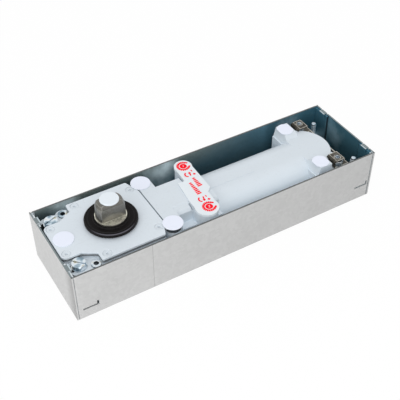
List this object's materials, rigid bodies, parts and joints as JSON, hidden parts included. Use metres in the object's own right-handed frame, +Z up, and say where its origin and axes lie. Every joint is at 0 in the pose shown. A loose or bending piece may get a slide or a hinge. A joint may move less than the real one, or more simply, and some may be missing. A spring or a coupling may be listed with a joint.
{
  "type": "floor spring",
  "caption": "Floor-mounted door closer in its folded steel box: a turning spindle drives a cam, roller and piston against a spring in the tube.",
  "frame": {"origin": "centre of the box's underside", "axes": "+X along the box from the spindle end to the spring tube's end, +Z up along the spindle"},
  "size_m": [0.285, 0.082, 0.0711],
  "materials": {
    "galvanised_box": "galvanised, fine mottling",
    "painted_casting": "satin silver-grey paint",
    "painted_screw": "satin, painted over",
    "zinc_screw": "bright zinc",
    "spindle_steel": "turned, lightly oiled",
    "dark_steel": "dark brown-grey strip",
    "black_seal": "satin",
    "gasket": "matt",
    "white_pad": "smooth white",
    "white_cap": "white moulding with red print",
    "ground_steel": "ground and hardened",
    "spring_steel": "oiled spring steel",
    "inner_iron": "machined iron, oiled",
    "bronze": "sintered bearing metal"
  },
  "bodies": {
    "box": {"cement_box": "galvanised_box", "clamp_posts": "galvanised_box", "clamp_washers": "zinc_screw", "bracket_studs": "zinc_screw", "stud_nuts": "zinc_screw"},
    "clamp_front": {"clamp_screw_front": "zinc_screw"},
    "clamp_back": {"clamp_screw_back": "zinc_screw"},
    "closer": {"housing": "painted_casting", "cover_plate": "painted_casting", "cover_gasket": "gasket", "cover_screws": "painted_screw", "shaft_seal": "black_seal", "outer_race": "ground_steel", "bearing_balls": "ground_steel", "lower_bearing_bush": "bronze", "closing_spring": "spring_steel", "spring_seat": "ground_steel", "end_plug": "inner_iron", "end_plug_ring": "black_seal", "valve_rings": "black_seal", "plate_pad": "white_pad", "neck_pads": "white_pad", "ear_pads": "white_pad", "rear_bracket": "dark_steel", "lock_nuts": "zinc_screw"},
    "shaft": {"spindle": "spindle_steel", "spindle_cap": "white_pad", "cam": "ground_steel", "cam_key": "ground_steel", "inner_race": "ground_steel"},
    "carriage": {"piston": "inner_iron", "piston_seal": "black_seal", "check_ball": "ground_steel", "check_ball_clip": "bronze", "roller_pin": "ground_steel"},
    "roller": {"cam_roller": "ground_steel"},
    "closing_adjuster": {"closing_valve": "zinc_screw"},
    "latching_adjuster": {"latching_valve": "zinc_screw"},
    "label": {"label_cap": "white_cap"},
    "height_front": {"height_screw_front": "zinc_screw"},
    "height_back": {"height_screw_back": "zinc_screw"},
    "rear_front": {"rear_screw_front": "zinc_screw"},
    "rear_back": {"rear_screw_back": "zinc_screw"}
  },
  "joints": [
    {"name": "closer_shift", "type": "slide", "parent": "box", "child": "closer", "axis": [1, 0, 0], "range_m": [-0.0008, 0.0015]},
    {"name": "spindle_turn", "type": "hinge", "parent": "closer", "child": "shaft", "pos_m": [-0.0901, 0, 0.05], "axis": [0, 0, 1], "range_deg": [0, 130], "stiffness_Nm_per_rad": 4, "deforming": ["closing_spring"]},
    {"name": "piston_slide", "type": "slide", "parent": "closer", "child": "carriage", "axis": [1, 0, 0], "range_m": [0, 0.01301], "deforming": ["closing_spring"]},
    {"name": "roller_spin", "type": "hinge", "parent": "carriage", "child": "roller", "pos_m": [-0.0711, 0, 0.0235], "axis": [0, 0, 1], "range_deg": [-340, 0]},
    {"name": "closing_valve_turn", "type": "hinge", "parent": "closer", "child": "closing_adjuster", "pos_m": [-0.0095, 0.0272, 0.04], "axis": [0, 0, 1], "range_deg": [-180, 180]},
    {"name": "latching_valve_turn", "type": "hinge", "parent": "closer", "child": "latching_adjuster", "pos_m": [-0.0163, -0.0267, 0.04], "axis": [0, 0, 1], "range_deg": [-180, 180]},
    {"name": "label_lift", "type": "slide", "parent": "closer", "child": "label", "axis": [0, 0, 1], "range_m": [0, 0.012]},
    {"name": "clamp_turn_front", "type": "hinge", "parent": "box", "child": "clamp_front", "pos_m": [-0.1304, -0.0265, 0.043], "axis": [0, 0, 1], "range_deg": [-180, 180]},
    {"name": "clamp_turn_back", "type": "hinge", "parent": "box", "child": "clamp_back", "pos_m": [-0.1304, 0.0265, 0.043], "axis": [0, 0, 1], "range_deg": [-180, 180]},
    {"name": "height_turn_front", "type": "hinge", "parent": "closer", "child": "height_front", "pos_m": [-0.1184, -0.0314, 0.04], "axis": [0, 0, 1], "range_deg": [-180, 180]},
    {"name": "height_turn_back", "type": "hinge", "parent": "closer", "child": "height_back", "pos_m": [-0.1184, 0.0314, 0.04], "axis": [0, 0, 1], "range_deg": [-180, 180]},
    {"name": "rear_turn_front", "type": "hinge", "parent": "closer", "child": "rear_front", "pos_m": [0.1121, -0.0277, 0.04], "axis": [0, 0, 1], "range_deg": [-180, 180]},
    {"name": "rear_turn_back", "type": "hinge", "parent": "closer", "child": "rear_back", "pos_m": [0.1121, 0.0277, 0.04], "axis": [0, 0, 1], "range_deg": [-180, 180]}
  ],
  "couplings": [
    {"joint": "piston_slide", "follows": "spindle_turn", "m_per_rad": 0.0057296},
    {"joint": "roller_spin", "follows": "spindle_turn", "ratio": -2.6}
  ]
}
